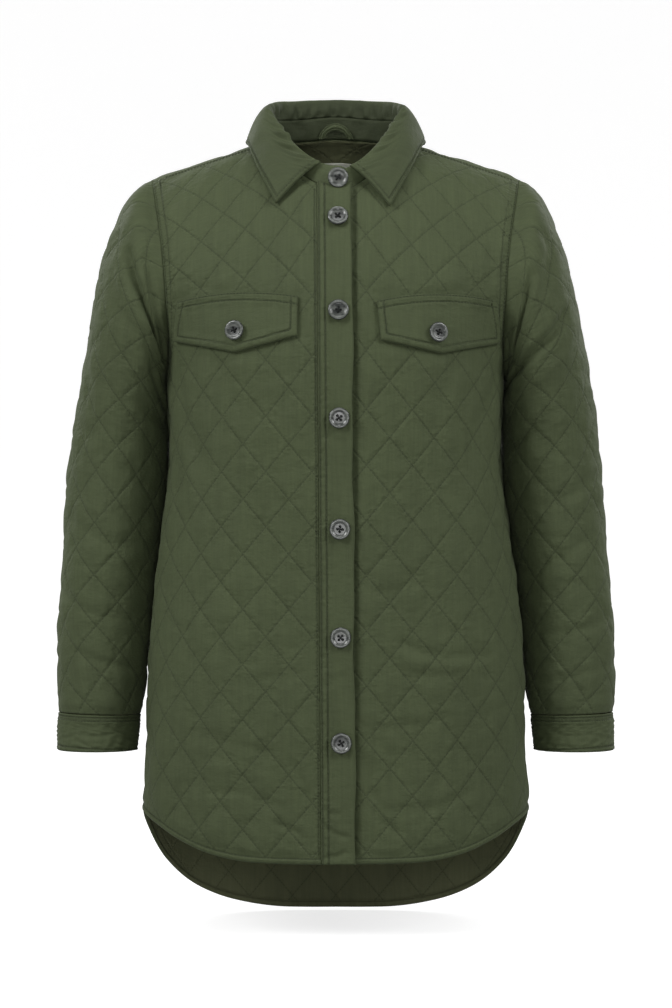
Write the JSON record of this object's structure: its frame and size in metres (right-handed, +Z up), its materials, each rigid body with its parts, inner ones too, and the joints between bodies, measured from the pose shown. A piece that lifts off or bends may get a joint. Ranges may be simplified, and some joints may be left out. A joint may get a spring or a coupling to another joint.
{
  "type": "quilted shirt jacket",
  "caption": "Olive quilted shirt jacket, filled out as worn with nobody in it: shirt collar, buttoned placket, chest flaps, cuffed long sleeves and a curved hem with a longer back.",
  "frame": {"origin": "middle of the neck at the height where the jacket rests on the wearer's shoulders", "axes": "+Z up along the wearer's spine, the front faces -Y, the wearer's left is +X"},
  "size_m": [0.5608, 0.2568, 0.8282],
  "materials": {
    "quilted_cloth": "soft matt woven shell, diamond quilted over thin wadding",
    "plain_cloth": "soft matt woven shell, topstitched, not quilted",
    "pale_label": "woven tape, bare",
    "smoky_horn": "polished, smoky horn look"
  },
  "bodies": {
    "root": {"front_right": "quilted_cloth", "front_left": "quilted_cloth", "back": "quilted_cloth", "sleeve_right": "quilted_cloth", "sleeve_left": "quilted_cloth", "placket": "plain_cloth", "flap_right": "plain_cloth", "flap_left": "plain_cloth", "hem_front_right": "plain_cloth", "hem_front_left": "plain_cloth", "hem_back": "plain_cloth", "cuff_right": "plain_cloth", "cuff_left": "plain_cloth", "collar_stand": "plain_cloth", "collar": "plain_cloth", "hanger_loop": "plain_cloth", "label": "pale_label", "button_1": "smoky_horn", "button_2": "smoky_horn", "button_3": "smoky_horn", "button_4": "smoky_horn", "button_5": "smoky_horn", "button_6": "smoky_horn", "button_7": "smoky_horn", "flap_button_right": "smoky_horn", "flap_button_left": "smoky_horn"}
  },
  "joints": []
}
